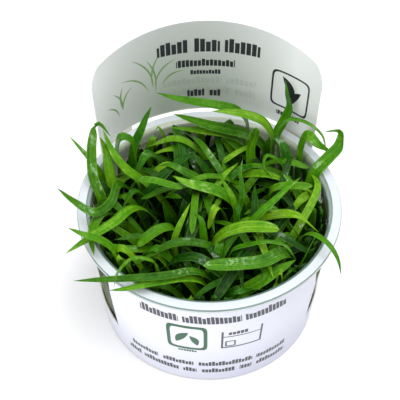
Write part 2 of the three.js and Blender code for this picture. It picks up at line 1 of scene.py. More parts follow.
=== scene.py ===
import bmesh
import bpy
import math
import random
import numpy as np
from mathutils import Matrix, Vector


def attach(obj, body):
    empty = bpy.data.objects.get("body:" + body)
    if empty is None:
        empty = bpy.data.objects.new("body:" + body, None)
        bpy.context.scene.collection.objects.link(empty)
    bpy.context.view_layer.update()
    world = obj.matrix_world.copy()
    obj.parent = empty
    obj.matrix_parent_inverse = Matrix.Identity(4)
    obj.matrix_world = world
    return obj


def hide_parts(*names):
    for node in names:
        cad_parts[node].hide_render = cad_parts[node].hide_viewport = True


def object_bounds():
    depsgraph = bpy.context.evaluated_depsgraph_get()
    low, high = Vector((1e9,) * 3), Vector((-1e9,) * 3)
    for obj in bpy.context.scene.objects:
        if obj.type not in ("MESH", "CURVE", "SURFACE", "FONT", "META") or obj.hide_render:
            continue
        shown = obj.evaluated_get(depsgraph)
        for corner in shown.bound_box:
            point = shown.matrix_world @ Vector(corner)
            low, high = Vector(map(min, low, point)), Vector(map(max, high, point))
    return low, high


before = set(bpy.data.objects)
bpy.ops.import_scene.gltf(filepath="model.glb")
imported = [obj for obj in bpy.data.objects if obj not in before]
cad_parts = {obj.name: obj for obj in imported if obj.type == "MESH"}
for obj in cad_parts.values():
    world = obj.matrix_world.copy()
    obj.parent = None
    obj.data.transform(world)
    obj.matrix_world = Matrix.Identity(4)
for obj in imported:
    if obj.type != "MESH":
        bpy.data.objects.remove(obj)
cad_box = [list(corner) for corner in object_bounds()]

MM = 0.001

# The cup, in millimetres
CUP_HEIGHT = 48
CUP_BASE_RADIUS = 35.1
WALL_SLOPE = 0.12
WALL_KNEE = 31
UPPER_SLOPE = 0.024
WALL = 0.8
FLOOR = 1
BASE_CHAMFER = 0.7
FLOOR_CORNER = 0.8
FLANGE_RADIUS = 43
FLANGE_THICKNESS = 1
FLANGE_LIP = 1.8
FLANGE_SKIRT = 0.5
FLANGE_CHAMFER = 0.3
FLANGE_FILLET = 0.6
MOUTH_RADIUS = 40
MOUTH_BEVEL = 0.9
LID_SEAT_DEPTH = 4.2
LID_SEAT_STEP = 0.35
LID_SEAT_DRAFT = 0.1
LID_SEAT_TOP = 1.4
LIP_LINE = (0.8, 0.9)
MOUTH_LINE = 0.25
CUP_ROUNDING = 0.35
CUP_SIDES = 192
ROUND_STEPS = 3
ROUND_SHARE = 0.45

# The label card: heights in millimetres, bearings in degrees from the front of the label
CARD = 0.4
CARD_GAP = 0.3
CARD_FOOT = 0.4
CARD_TOP = 46
CARD_TURN = 3
HEADER_TURN = 1.5
FRONT_HALF_ANGLE = 57.5
WINDOW_BACK_ANGLE = 112
LEG_OUTER_ANGLE = 126
LEG_INNER_ANGLE = 145
WINDOW_SILL_FRONT = 11
WINDOW_SILL_BACK = 17
LEG_BLEND_ANGLE = 12
HEADER_BOTTOM = 48.2
HEADER_TOP = 85.4
HEADER_ARCH = 5.4
HEADER_RADIUS = 43.9
HEADER_LEAN = 0.08
HEADER_CORNER_ANGLE = 6
HEADER_CORNER_DROP = 7
FLARE_START = WALL_KNEE
CARD_STEP_ANGLE = 1.5
CARD_CORNER_STEPS = (0.06, 0.22, 0.5, 0.9)
CARD_BAND_ROWS = [6, 9, 9, 2, 18]
CARD_SHARP_ANGLE = 40
PRINT_END_ANGLE = 100

# The growing gel and the leaves
GEL_TOP = 16
GEL_GAP = 0.3
GEL_ROUNDING = 0.5
GEL_SIDES = 96
BLADE_THICKNESS = 0.42
BLADE_STEPS = 64
YOUNG_STEPS = 32
BLADE_CORNERS = 12
LEAST_HALF_WIDTH = 0.02
CHANNEL = 0.1
RIPPLE = 0.12
CLEARANCE = 0.45
FUSED_CLEARANCE = 0.2
FUSED_RADIUS = 5
FUSED_HEIGHT = 9
WALL_GAP = 0.6
HIGHEST_FILLING = 52
GAP_PLACE = (-14, -3)
GAP_RADIUS = 6.5
GAP_FLOOR = 26

# How the leaves are told apart in the meshes of the CAD: in millimetres, but SAME_PLACE in metres
SAME_PLACE = 2e-6
LEAF_CORNERS = 4
FOOT_TOP = GEL_TOP + 0.05
STEM_TOP = GEL_TOP + 1.2
BLUNT_RINGS = 10
YOUNG_TIP_FLOOR = 22
YOUNG_TIP_LENGTH = 12
YOUNG_TIP_DROP = 4
YOUNG_TIP_EDGES = (5, 6, 7)
YOUNG_ROOT_REACH = 1.6

# How light the named leaves are, from 0 to 1; the others get a tone by chance, darker for short
# filling leaves as painted shade
TONES = {"bright_blunt": 0.64, "big_bright": 0.6, "thin_upright": 0.68, "right_fold": 0.55,
         "right_upright": 0.5, "dark_middle": 0.2, "right_dark": 0.25, "grey_middle": 0.4}

# The grid of cells that records where leaves already are, in millimetres
CELL = 0.4
GRID_REACH = 52
GRID_CELLS = (260, 260, 200)
GRID_MARGIN = 3

# Leaves that fill the room between those of the young plants: tries, then the ranges of
# height, reach and droop as shares of the height, width, distance of the root from the axis,
# and turn of the leaf from straight outwards in degrees
FILLINGS = [
    (2500, (27, 32), (0.5, 1.1), (0.0, 0.2), (3.0, 4.4), (31, 34.8), 110),
    (2500, (25, 31), (0.05, 0.4), (-0.1, 0.1), (2.8, 4.4), (33, 35.2), 60),
    (5000, (30, 35.5), (0.8, 1.4), (0.0, 0.25), (2.2, 3.8), (4, 32), 180),
    (14000, (27, 35), (0.4, 1.1), (0.0, 0.3), (2.4, 3.8), (0, 33), 180),
    (9000, (20, 30), (0.1, 0.6), (-0.1, 0.3), (2.2, 3.4), (20, 34), 180),
    (6000, (14, 24), (0.2, 0.9), (-0.1, 0.4), (2.0, 3.2), (0, 34), 180),
    (3000, (6, 15), (0.3, 1.1), (-0.1, 0.4), (1.8, 2.8), (0, 34), 180),
]
FILLING_SEED = 7
YOUNG_SEED = 100
ROOT_DEPTH = 0.3
BLUNT_SHARE = 0.3
MOST_SWERVE = 0.3
MOST_EDGE_TURN = 0.5
MOST_EDGE_SPIN = 0.9

# The course of a filling leaf: shares of its reach, swerve and height for three points; a
# fourth ends it at its full reach
FILLING_COURSE = [(0.05, 0, 0.3), (0.25, 0.4, 0.72), (0.62, 0.9, 1)]

# The photograph's camera, in metres and degrees, with its lens and sensor in millimetres
CAMERA_TARGET = Vector((-0.00302, 0, 0.05007))
CAMERA_ELEVATION = 48.46
CAMERA_DISTANCE = 0.45
CAMERA_LENS = 125.1
SENSOR_WIDTH = 36

# The stage, in metres
FLOOR_RADIUS = 3
LIT_PLACE = Vector((0, 0, 0.03))
WORLD_STRENGTH = 0.42


def colour(red, green, blue):
    """A colour given as 0 to 255 on screen."""
    return tuple((c / 255) ** 2.2 for c in (red, green, blue)) + (1,)


def smooth(low, high, x):
    t = min(1, max(0, (x - low) / (high - low)))
    return t * t * (3 - 2 * t)


class Wire:
    """A socket of a node tree, with sums and products that add their nodes."""

    def __init__(self, tree, socket=None):
        self.tree, self.socket = tree, socket

    def node(self, kind, settings=None, inputs=None, output=None):
        made = self.tree.nodes.new(kind)
        for name, value in (settings or {}).items():
            if name == "stops":
                ramp = made.color_ramp.elements
                while len(ramp) < len(value):
                    ramp.new(0.5)
                for stop, (position, shade) in zip(ramp, value):
                    stop.position, stop.color = position, shade
            else:
                setattr(made, name, value)
        for name, value in (inputs or {}).items():
            if isinstance(value, Wire):
                self.tree.links.new(value.socket, made.inputs[name])
            else:
                made.inputs[name].default_value = value
        outputs = [s for s in made.outputs if s.enabled]
        chosen = made.outputs[output] if output is not None else (outputs or [None])[0]
        return Wire(self.tree, chosen)

    def also(self, output):
        return Wire(self.tree, self.socket.node.outputs[output])

    def maths(self, operation, *values):
        return self.node("ShaderNodeMath", {"operation": operation}, dict(enumerate(values)))

    def __add__(self, other): return self.maths("ADD", self, other)
    def __radd__(self, other): return self.maths("ADD", other, self)
    def __sub__(self, other): return self.maths("SUBTRACT", self, other)
    def __rsub__(self, other): return self.maths("SUBTRACT", other, self)
    def __mul__(self, other): return self.maths("MULTIPLY", self, other)
    def __truediv__(self, other): return self.maths("DIVIDE", self, other)
    def __pow__(self, other): return self.maths("POWER", self, other)

    def absolute(self):
        return self.maths("ABSOLUTE", self)

    def within(self, middle, reach):
        return self.maths("COMPARE", self, middle, reach)

    def eased(self, low, high):
        return self.node("ShaderNodeMapRange", {"interpolation_type": "SMOOTHSTEP"},
                         {"Value": self, "From Min": low, "From Max": high})

    def blend(self, first, second):
        """first where this mask is 0, second where it is 1."""
        return self.node("ShaderNodeMix", {"data_type": "RGBA"}, {0: self, 6: first, 7: second}, 2)

    def noise(self, scale, detail, where, seed=0):
        return self.node("ShaderNodeTexNoise", {"noise_dimensions": "4D"},
                         {"Vector": where, "Scale": scale, "Detail": detail, "W": seed})


def attribute(tree, name):
    return tree.node("ShaderNodeAttribute", {"attribute_name": name}, output="Fac")


def material(name, look):
    """look(tree) gives the surface."""
    made = bpy.data.materials.new(name)
    made.use_nodes = True
    made.node_tree.nodes.clear()
    tree = Wire(made.node_tree)
    tree.node("ShaderNodeOutputMaterial", None, {"Surface": look(tree)})
    return made


def skin(tree, sockets):
    return tree.node("ShaderNodeBsdfPrincipled", None, sockets)


def object_place(tree):
    return tree.node("ShaderNodeTexCoord", output="Object")


def axis(tree, place, name):
    return tree.node("ShaderNodeSeparateXYZ", None, {0: place}, name)


# Materials

LEAF_SHADES = [(0.0, colour(5, 34, 1)), (0.3, colour(26, 82, 3)),
               (0.6, colour(66, 128, 6)), (1.0, colour(148, 196, 48))]
LEAF_WARM = colour(120, 146, 8)
LEAF_FOOT = colour(84, 118, 30)
LEAF_RIB_AND_EDGE_HIGHLIGHT = colour(132, 178, 58)
LEAF_VEIN = colour(18, 62, 3)
LEAF_UNDERSIDE = colour(74, 124, 46)
VEINS_ACROSS = 22
SHADED_HEIGHTS = (0.022, 0.047)

WET_LEAF_IN_SHADE, WET_LEAF_LIGHT = colour(26, 40, 8), colour(118, 140, 56)
CLEAR_TINT = (0.97, 0.985, 0.975, 1)
FLANGE_MILK = colour(214, 221, 226)
# Painted shade in the lid seat: darker at the front, lighter at the back
SEAT_SHADE_FRONT, SEAT_SHADE_BACK = colour(104, 128, 118), colour(180, 188, 166)

# Where wet leaf shows through the label's windows, painted dark as the shade inside the cup, in
# metres: the middle of the band, then how far from it the leaf begins to fade and is gone
WET_BAND_Y = (-0.004, 0.018, 0.021)
WET_BAND_Z = (0.0295, 0.0155, 0.0175)

GEL_SHADES = [(0.25, colour(10, 20, 5)), (0.55, colour(26, 36, 10)), (0.8, colour(62, 66, 30))]
FLOOR_LIGHT, FLOOR_DARK = colour(250, 250, 250), colour(247, 247, 248)


def leaf_look(tree):
    across, along, under, tone, warmth = (
        attribute(tree, name) for name in ("across", "along", "under", "tone", "warmth"))
    place = object_place(tree)
    # Painted shade: the leaves are darker the lower they stand in the tuft, below SHADED_HEIGHTS.
    depth_shade = 1 - axis(tree, place, "Z").eased(*SHADED_HEIGHTS)
    blotches, specks = tree.noise(160, 2, place), tree.noise(800, 2, place, 5)
    fibres = tree.noise(1, 3, tree.node("ShaderNodeCombineXYZ", None,
                                        {0: across * 7, 1: along * 2.5, 2: tone * 40}))
    side = across.absolute()
    stripes = across * VEINS_ACROSS
    veins = stripes.maths("SINE", stripes) * 0.5 + 0.5
    light = (tone + (blotches - 0.5) * 0.4 + (fibres - 0.5) * 0.8 + (specks - 0.5) * 0.4
             + along * 0.12 - depth_shade * 0.3 - 0.07)
    base = tree.node("ShaderNodeValToRGB", {"stops": LEAF_SHADES}, {"Fac": light})
    warm = (warmth * light * 0.5).blend(base, LEAF_WARM)
    pale = (1 - along.eased(0.0, 0.3)).blend(warm, LEAF_FOOT)
    # A paler midrib, the leaf's own colour, and pale edges, a painted highlight along the blade's
    # sides.
    midrib, edge_highlight = 1 - side.eased(0.03, 0.16), side.eased(0.8, 0.97)
    rib_and_edge_highlight = (midrib * 0.08 + edge_highlight * 0.22).blend(pale, LEAF_RIB_AND_EDGE_HIGHLIGHT)
    veined = (veins * 0.16).blend(rib_and_edge_highlight, LEAF_VEIN)
    dull = (under * 0.3).blend(veined, LEAF_UNDERSIDE)
    bump = tree.node("ShaderNodeBump", None, {
        "Strength": 0.45, "Distance": 0.0002,
        "Height": veins * 0.5 - midrib * 0.4 + blotches * 0.5 + fibres * 0.6 + specks * 0.7})
    wet = blotches.eased(0.52, 0.6) * specks.eased(0.46, 0.56)
    return skin(tree, {
        "Base Color": dull, "Roughness": 0.3 + blotches * 0.2, "Normal": bump,
        "Specular IOR Level": 0.14, "Subsurface Weight": 0.15,
        "Subsurface Radius": (0.4, 1.0, 0.1), "Subsurface Scale": 0.001,
        "Coat Weight": wet * 0.8, "Coat Roughness": 0.06})


def cup_look(tree):
    """Clear walls, with a milkier flange and painted shade: a dark green-grey line where the lid
    seats, darker at the front, and a thin one on the flange's outer edge.

    Wet leaf pressed flat against the wall shows at the label's windows, its dark part painted shade
    from inside the cup."""
    milk, seat = attribute(tree, "milk"), attribute(tree, "seat")
    place = object_place(tree)
    scuffs = tree.noise(240, 2, place)
    x, y, z = (axis(tree, place, name) for name in "XYZ")

    def band(height, middle, fades, gone):
        return 1 - (height - middle).absolute().eased(fades, gone)

    blade = tree.node("ShaderNodeTexVoronoi", None, {"Scale": 1.0, "Vector": tree.node(
        "ShaderNodeCombineXYZ", None,
        {0: x * 330 + z * 50, 1: y * 330 + z * 30, 2: z * 20})}, "Distance")
    chance = tree.node("ShaderNodeSeparateColor", None, {0: blade.also("Color")}, "Red")
    leafy = skin(tree, {
        "Base Color": (chance * (1 - blade.eased(0.35, 0.65) * 0.7)).blend(
            WET_LEAF_IN_SHADE, WET_LEAF_LIGHT),
        "Roughness": 0.5 + scuffs * 0.2, "Specular IOR Level": 0.05})
    clear = skin(tree, {"Base Color": CLEAR_TINT, "Roughness": 0.04, "IOR": 1.2,
                        "Transmission Weight": 1.0})
    # Painted shade in the lid seat and on the flange's edge, darker at the front than at the back.
    milky = skin(tree, {
        "Base Color": seat.blend(FLANGE_MILK, y.eased(0.005, 0.034).blend(SEAT_SHADE_FRONT, SEAT_SHADE_BACK)),
        "Roughness": 0.2 + scuffs * 0.14 + seat * 0.2, "Specular IOR Level": 0.3,
        "Coat Weight": 0.25 - seat * 0.25, "Coat Roughness": 0.08})
    # Painted shade: the band of dark wet leaf at the windows stands for the shade inside the cup as
    # well as leaf.
    pressed = band(y, *WET_BAND_Y) * band(z, *WET_BAND_Z) * (chance.eased(0.25, 0.3) * 0.45 + 0.5)
    wall = tree.node("ShaderNodeMixShader", None, {0: pressed, 1: clear, 2: leafy})
    return tree.node("ShaderNodeMixShader", None, {0: milk, 1: wall, 2: milky})


def gel_look(tree):
    place = object_place(tree)
    clouds, grains = tree.noise(90, 3, place), tree.noise(600, 2, place, 3)
    shade = tree.node("ShaderNodeValToRGB", {"stops": GEL_SHADES},
                      {"Fac": clouds * 0.7 + grains * 0.3})
    bump = tree.node("ShaderNodeBump", None, {"Strength": 0.5, "Distance": 0.0006,
                                              "Height": clouds + grains * 0.4})
    return skin(tree, {"Base Color": shade, "Roughness": 0.25 + grains * 0.2, "Normal": bump})


# The label's print: bearings in degrees from the front of the label, or for the header from
# its back, and heights in millimetres. A pitch is the millimetres of card in a degree.

# Rows of plain blocks: middle, half height, degrees a letter, then the span of each word
TITLE_ROW = (38.2, 2.0, 1.95, (-36, -17), (-15, 12.3), (14.1, 35.1))
FOOT_ROWS = [
    (11.2, 1.4, 1.7, (-46, -30), (-27, -11), (-8.5, 19.5), (21.5, 39)),
    (6.7, 1.4, 1.7, (-49, -41), (-39, -19), (-16.5, -9.5), (-7, 10.5), (13, 19.5), (22, 39.5))]
TANK_ROW = (30.6, 1.2, 1.9, (5.6, 15.2))
BADGE_ROW = (19.4, 0.7, 1.3, (-18.5, -9))
HEADER_ROWS = [
    (75.7, 2.9, 2.4, (-23, -8), (-6, 5), (7.5, 20.5)), (68.4, 1.6, 1.7, (-12.5, 12.5)),
    (64.4, 1.0, 1.3, (-6.5, 6.5)), (55.4, 1.5, 1.7, (-6.5, -1.5), (0.5, 8))]
CREST_ROW = (53, 1.0, 1.5, (-44.5, -32.5))
GHOST_ROWS = [(61, 1.5, 2.1, (-22, -9), (-7, 19)), (56.4, 1.5, 2.1, (-22, -13), (-11, 19))]

# Bars: bearing, half width, height, half height
TANK_BARS = [(3, 0.5, 26.6, 5), (22, 0.5, 26.6, 5), (12.5, 10, 21.7, 0.35), (12.5, 9.5, 28.4, 0.25)]

# Rounded squares: pitch, bearing, height, half size, line
TANK_SQUARE = (0.66, 7, 24, 1.7, 0.5)
BADGE_SQUARE = (0.73, -13.7, 27.3, 7.1, 1.3)
CREST_SQUARE = (0.8, -38.5, 63, 7.6, 0.7)

# Pointed leaves: pitch, bearing, height, length, width, turn in degrees, bow
BADGE_LEAVES = [(0.73, -16, 27.4, 8, 1.5, 55, 0.6), (0.73, -10.6, 26, 6.4, 1.3, 115, -0.6)]
CREST_LEAVES = [(0.8, -37, 64, 10.5, 1.6, 62, 1.0), (0.8, -41.5, 61.5, 7.5, 1.2, 118, -0.8)]
SPRIG_LEAVES = [(0.8, *leaf[:3], 0.32, *leaf[3:]) for leaf in (
    (24, 66, 15, 80, 1.6), (28, 68, 17, 62, 2.4), (21, 68, 14, 105, -1.6), (17, 66, 13, 130, -2.2),
    (32, 64, 14, 40, 2.4), (14, 63, 10, 150, -1.8), (38, 62, 10, 95, -1.0), (41, 61, 10, 70, 1.6),
    (35.5, 61, 9, 120, -1.4), (44, 58, 8, 50, 1.4))]

CARD_WHITE, CARD_SHADE = colour(233, 234, 243), colour(198, 200, 217)
HEADER_WHITE, CARD_LINING = colour(236, 239, 237), colour(252, 250, 236)
HEADER_SHADE_LOW, HEADER_SHADE_HIGH = colour(144, 157, 139), colour(178, 183, 181)
GHOST_INK, SPRIG_INK, BADGE_INK = colour(90, 100, 92), colour(96, 138, 54), colour(38, 90, 60)
GREY_INK, BLACK_INK = colour(62, 64, 74), colour(36, 39, 44)


def label_look(tree):
    place = object_place(tree)
    bearing, height, back, inner, front = (
        attribute(tree, name) for name in ("bearing", "height", "back", "inner", "front"))
    fibre, clouds = tree.noise(900, 2, place), tree.noise(35, 1, place, 7)

    def either(*masks):
        whole = masks[0]
        for mask in masks[1:]:
            whole = whole.maths("MAXIMUM", whole, mask)
        return whole

    def words(angle, middle, half_height, letter, *spans):
        """A row of plain blocks of chance height, about as wide as letters."""
        step = angle / letter
        number = step.maths("FLOOR", step)
        chance = tree.node("ShaderNodeTexWhiteNoise", {"noise_dimensions": "1D"},
                           {"W": number + middle}, output="Value")
        reach = (chance * 0.35 + 0.65) * half_height
        row = height.within(middle - half_height + reach, reach)
        return (step - number).within(0.5, 0.41) * row * either(
            *(angle.within((a + b) / 2, (b - a) / 2) for a, b in spans))

    def bar(angle, x, half_width, z, half_height):
        return angle.within(x, half_width) * height.within(z, half_height)

    def square(angle, pitch, x, z, half):
        """A square with well rounded corners."""
        across, up = (angle - x) * pitch / half, (height - z) / half
        distance = across ** 8.0 + up ** 8.0
        return distance.maths("LESS_THAN", distance, 1.0)

    def frame_line(angle, pitch, x, z, half, line):
        return square(angle, pitch, x, z, half) - square(angle, pitch, x, z, half - line)

    def leaflet(angle, pitch, x, z, length, width, turn, bow):
        """A pointed leaf about a place, turned and bowed."""
        across, up = (angle - x) * pitch, height - z
        c, s = math.cos(math.radians(turn)), math.sin(math.radians(turn))
        along = (across * c + up * s) * (2 / length)
        arch = 1 - along * along
        aside = up * c - across * s - arch * bow
        return arch.maths("GREATER_THAN", arch * width, aside.absolute())

    def all_of(shape, angle, rows):
        return either(*(shape(angle, *row) for row in rows))

    title = words(bearing, *TITLE_ROW)
    foot_lines = all_of(words, bearing, FOOT_ROWS)
    tank = either(all_of(bar, bearing, TANK_BARS), words(bearing, *TANK_ROW),
                  frame_line(bearing, *TANK_SQUARE))
    badge = either(frame_line(bearing, *BADGE_SQUARE), all_of(leaflet, bearing, BADGE_LEAVES),
                   words(bearing, *BADGE_ROW))
    crest = either(frame_line(back, *CREST_SQUARE), all_of(leaflet, back, CREST_LEAVES),
                   words(back, *CREST_ROW))
    header = height.eased(47, 49)
    on_front, on_header = front * (1 - inner), header * inner
    # Painted shade: the card darker towards its right side and towards its foot, over a faint
    # mottle.
    shade = bearing.eased(-50, 50) * (1 - bearing.absolute().eased(55, 110))
    white = (clouds * 0.1 + shade * 0.6 + (1 - height.eased(0, 28)) * 0.5).blend(
        CARD_WHITE, CARD_SHADE)
    tinted = (header * 0.8).blend(white, HEADER_WHITE)
    # Painted shade: the header darker across its middle, where the dark plants lie behind it, and
    # greener low down.
    header_middle_shade = 1 - ((back - 6) / 46) ** 2.0
    shaded = (on_header * header_middle_shade.maths("MAXIMUM", header_middle_shade, 0.0)).blend(
        tinted, ((height - 48) / 38).blend(HEADER_SHADE_LOW, HEADER_SHADE_HIGH))
    ghosted = (on_header * all_of(words, back, GHOST_ROWS) * 0.16).blend(shaded, GHOST_INK)
    leafy = (on_header * all_of(leaflet, back, SPRIG_LEAVES) * 0.85).blend(ghosted, SPRIG_INK)
    green = (badge * on_front).blend(leafy, BADGE_INK)
    grey = (either(title, tank) * on_front).blend(green, GREY_INK)
    dark = either(foot_lines * on_front,
                  either(all_of(words, back, HEADER_ROWS), crest) * on_header)
    printed = dark.blend(grey, BLACK_INK)
    lining = (inner * (1 - header)).blend(printed, CARD_LINING)
    bump = tree.node("ShaderNodeBump", None, {"Strength": 0.15, "Distance": 0.0001,
                                              "Height": fibre})
    return skin(tree, {"Base Color": lining, "Roughness": 0.42 + fibre * 0.12 - dark * 0.08,
                       "Normal": bump, "Coat Weight": 0.12, "Coat Roughness": 0.3})


def floor_look(tree):
    shade = (tree.noise(8, 1, object_place(tree)) * 0.5).blend(FLOOR_LIGHT, FLOOR_DARK)
    return skin(tree, {"Base Color": shade, "Roughness": 0.6})


LEAF = material("leaf", leaf_look)
CLEAR_PLASTIC = material("clear plastic", cup_look)
GEL = material("growing gel", gel_look)
LABEL_CARD = material("printed card", label_look)
PALE_FLOOR = material("pale floor", floor_look)


# Meshes

def new_object(name, data):
    made = bpy.data.objects.new(name, data)
    bpy.context.scene.collection.objects.link(made)
    return made


def mesh_of(name, points, faces):
    mesh = bpy.data.meshes.new(name)
    mesh.from_pydata([tuple(p) for p in points], [], faces)
    mesh.update()
    mesh.shade_smooth()
    return mesh


def put(mesh, name, values, kind="FLOAT"):
    made = mesh.attributes.new(name, kind, "POINT")
    field = "vector" if kind == "FLOAT_VECTOR" else "value"
    made.data.foreach_set(field, np.asarray(values, np.float32).ravel())


def piece(made, node):
    """Rides on the root body, and stands for the node named."""
    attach(made, "root")
    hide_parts(node)


def growth(tree_name, make, inputs):
    """A geometry tree with named inputs; make(tree, read) gives its last geometry."""
    tree = bpy.data.node_groups.new(tree_name, "GeometryNodeTree")
    tree.interface.new_socket("Geometry", in_out="INPUT", socket_type="NodeSocketGeometry")
    for name, kind in inputs.items():
        tree.interface.new_socket(name, in_out="INPUT", socket_type=kind)
    tree.interface.new_socket("Geometry", in_out="OUTPUT", socket_type="NodeSocketGeometry")
    start = Wire(tree).node("NodeGroupInput")
    result = make(start, start.also)
    real = result.node("GeometryNodeRealizeInstances", None, {"Geometry": result})
    done = real.node("GeometryNodeSetMaterial", None,
                     {"Geometry": real, "Material": start.also("Material")})
    done.node("NodeGroupOutput", None, {"Geometry": done})
    return tree


def grown(name, base, tree, values):
    """The plain mesh object that a geometry tree grows from a base mesh."""
    seedling = new_object(name, base)
    modifier = seedling.modifiers.new("growth", "NODES")
    modifier.node_group = tree
    identifiers = {s.name: s.identifier for s in tree.interface.items_tree if s.in_out == "INPUT"}
    for key, value in values.items():
        modifier[identifiers[key]] = value
    bpy.context.view_layer.update()
    scene_now = bpy.context.evaluated_depsgraph_get()
    mesh = bpy.data.meshes.new_from_object(seedling.evaluated_get(scene_now))
    bpy.data.objects.remove(seedling)
    mesh.name = name
    return new_object(name, mesh)


# Leaves: a spine with the width, the directions and the tone of each point, grown to a blade

def blade_growth(start, read):
    """A ring of corners drawn along each spine, then moved out to the blade's surface."""
    def named(name, kind="FLOAT"):
        return start.node("GeometryNodeInputNamedAttribute", {"data_type": kind}, {"Name": name})

    def store(geometry, name, value):
        return start.node("GeometryNodeStoreNamedAttribute",
                          {"data_type": "FLOAT", "domain": "POINT"},
                          {"Geometry": geometry, "Name": name, "Value": value})

    def added(first, second):
        return start.node("ShaderNodeVectorMath", {"operation": "ADD"}, {0: first, 1: second})

    def scaled(vector, scale):
        return start.node("ShaderNodeVectorMath", {"operation": "SCALE"},
                          {0: vector, "Scale": scale})

    lines = start.node("GeometryNodeMeshToCurve", None, {"Mesh": start})
    ring = start.node("GeometryNodeCurvePrimitiveCircle", {"mode": "RADIUS"},
                      {"Resolution": read("Corners"), "Radius": 1.0})
    corner = start.node("ShaderNodeSeparateXYZ", None, {0: start.node("GeometryNodeInputPosition")})
    ring = store(store(ring, "across", corner), "under", corner.also("Y"))
    blade = start.node("GeometryNodeCurveToMesh", None,
                       {"Curve": lines, "Profile Curve": ring, "Fill Caps": True})
    across, upper, half = named("across"), named("under"), named("half")
    spine = named("spine", "FLOAT_VECTOR")
    edge = across * across
    skin_height = upper * read("Thickness") * 0.5 * (1.0 - edge * 0.35) * half.eased(0.0, 0.0006)
    noise = start.node("ShaderNodeTexNoise", {"noise_dimensions": "4D"},
                       {"Vector": spine, "W": read("Seed"), "Scale": 70.0, "Detail": 1.0})
    ripple = (noise - 0.5) * read("Ripple") * 2.0 * named("along")
    rise = edge * half * read("Channel") * 2.0 + skin_height + ripple * across
    place = added(added(spine, scaled(named("side", "FLOAT_VECTOR"), across * half)),
                  scaled(named("face", "FLOAT_VECTOR"), rise))
    blade = start.node("GeometryNodeSetPosition", None, {"Geometry": blade, "Position": place})
    blade = store(blade, "under", upper.maths("LESS_THAN", upper, 0.0))
    return start.node("GeometryNodeSetShadeSmooth", None, {"Geometry": blade})


BLADE_TREE = growth("leaf blade", blade_growth, {
    "Corners": "NodeSocketInt", "Thickness": "NodeSocketFloat", "Channel": "NodeSocketFloat",
    "Ripple": "NodeSocketFloat", "Seed": "NodeSocketFloat", "Material": "NodeSocketMaterial"})


def blade_shape(t, blunt):
    """Half width of a blade along its length, as a share of its widest."""
    widening = 0.6 + 0.4 * smooth(0, 0.35, t)
    if blunt:
        return widening * math.sqrt(max(0, 1 - max(0, (t - 0.86) / 0.14) ** 2.5))
    return widening * (1 - max(0, (t - 0.6) / 0.4) ** 3.2)


def unit(vectors):
    return vectors / np.linalg.norm(vectors, axis=-1, keepdims=True)


def through(points, steps):
    """Points evenly spaced along a smooth curve through the points given."""
    p = np.vstack([2 * points[0] - points[1], points, 2 * points[-1] - points[-2]])
    t = np.linspace(0, 1, 12, endpoint=False)[:, None]
    fine = np.vstack([0.5 * (2 * b + (c - a) * t + (2 * a - 5 * b + 4 * c - d) * t ** 2
                             + (3 * b - a - 3 * c + d) * t ** 3)
                      for a, b, c, d in zip(p, p[1:], p[2:], p[3:])] + [p[-2]])
    lengths = np.cumsum([0, *np.linalg.norm(np.diff(fine, axis=0), axis=1)])
    wanted = np.linspace(0, lengths[-1], steps + 1)
    return np.stack([np.interp(wanted, lengths, fine[:, i]) for i in range(3)], 1)


class Leaf:
    """A path in millimetres, with the directions of the leaf's width and face along it."""

    def __init__(self, points, sides, width, steps, blunt, tone, warmth):
        self.tone, self.warmth = tone, warmth
        points, sides = np.array(points, float), np.array(sides, float)
        for i in range(1, len(sides)):
            if sides[i] @ sides[i - 1] < 0:
                sides[i] *= -1
        self.places = through(points, steps)
        self.along = np.linspace(0, 1, steps + 1)
        knots = np.cumsum([0, *np.linalg.norm(np.diff(points, axis=0), axis=1)])
        side = np.stack([np.interp(self.along, knots[:len(sides)] / knots[-1], sides[:, i])
                         for i in range(3)], 1)
        tangent = unit(np.gradient(self.places, axis=0))
        self.side = unit(side - tangent * (side * tangent).sum(1, keepdims=True))
        self.face = np.cross(tangent, self.side)
        if self.face[steps // 2][2] < 0:
            self.face, self.side = -self.face, -self.side
        self.half = np.array([max(LEAST_HALF_WIDTH, width / 2 * blade_shape(t, blunt))
                              for t in self.along])

    def samples(self, every=1):
        """Points all over the blade, from every so many of its steps."""
        reach = (self.side * self.half[:, None])[::every]
        return np.concatenate([self.places[::every] + reach * k for k in np.linspace(-1, 1, 7)])


def leaf_lines(name, leaves):
    """The paths of some leaves as lines of points that carry what the blades need."""
    edges, first = [], 0
    for leaf in leaves:
        count = len(leaf.places)
        edges += [(i, i + 1) for i in range(first, first + count - 1)]
        first += count
    places = np.concatenate([leaf.places for leaf in leaves]) * MM
    mesh = bpy.data.meshes.new(name)
    mesh.from_pydata(places.tolist(), edges, [])
    put(mesh, "spine", places, "FLOAT_VECTOR")
    put(mesh, "side", np.concatenate([leaf.side for leaf in leaves]), "FLOAT_VECTOR")
    put(mesh, "face", np.concatenate([leaf.face for leaf in leaves]), "FLOAT_VECTOR")
    put(mesh, "half", np.concatenate([leaf.half for leaf in leaves]) * MM)
    put(mesh, "along", np.concatenate([leaf.along for leaf in leaves]))
    for name in ("tone", "warmth"):
        put(mesh, name, np.concatenate([np.full(len(leaf.places), getattr(leaf, name))
                                        for leaf in leaves]))
    return mesh


def blades(name, leaves, seed):
    """One mesh of blades, its outermost points brought back into the box of the CAD."""
    made = grown(name, leaf_lines(name + " paths", leaves), BLADE_TREE, {
        "Corners": BLADE_CORNERS, "Thickness": BLADE_THICKNESS * MM, "Channel": CHANNEL,
        "Ripple": RIPPLE * MM, "Seed": float(seed), "Material": LEAF})
    places = np.empty(3 * len(made.data.vertices), np.float32)
    made.data.vertices.foreach_get("co", places)
    made.data.vertices.foreach_set("co", np.clip(places.reshape(-1, 3), *cad_box).ravel())
    made.data.update()
    return made


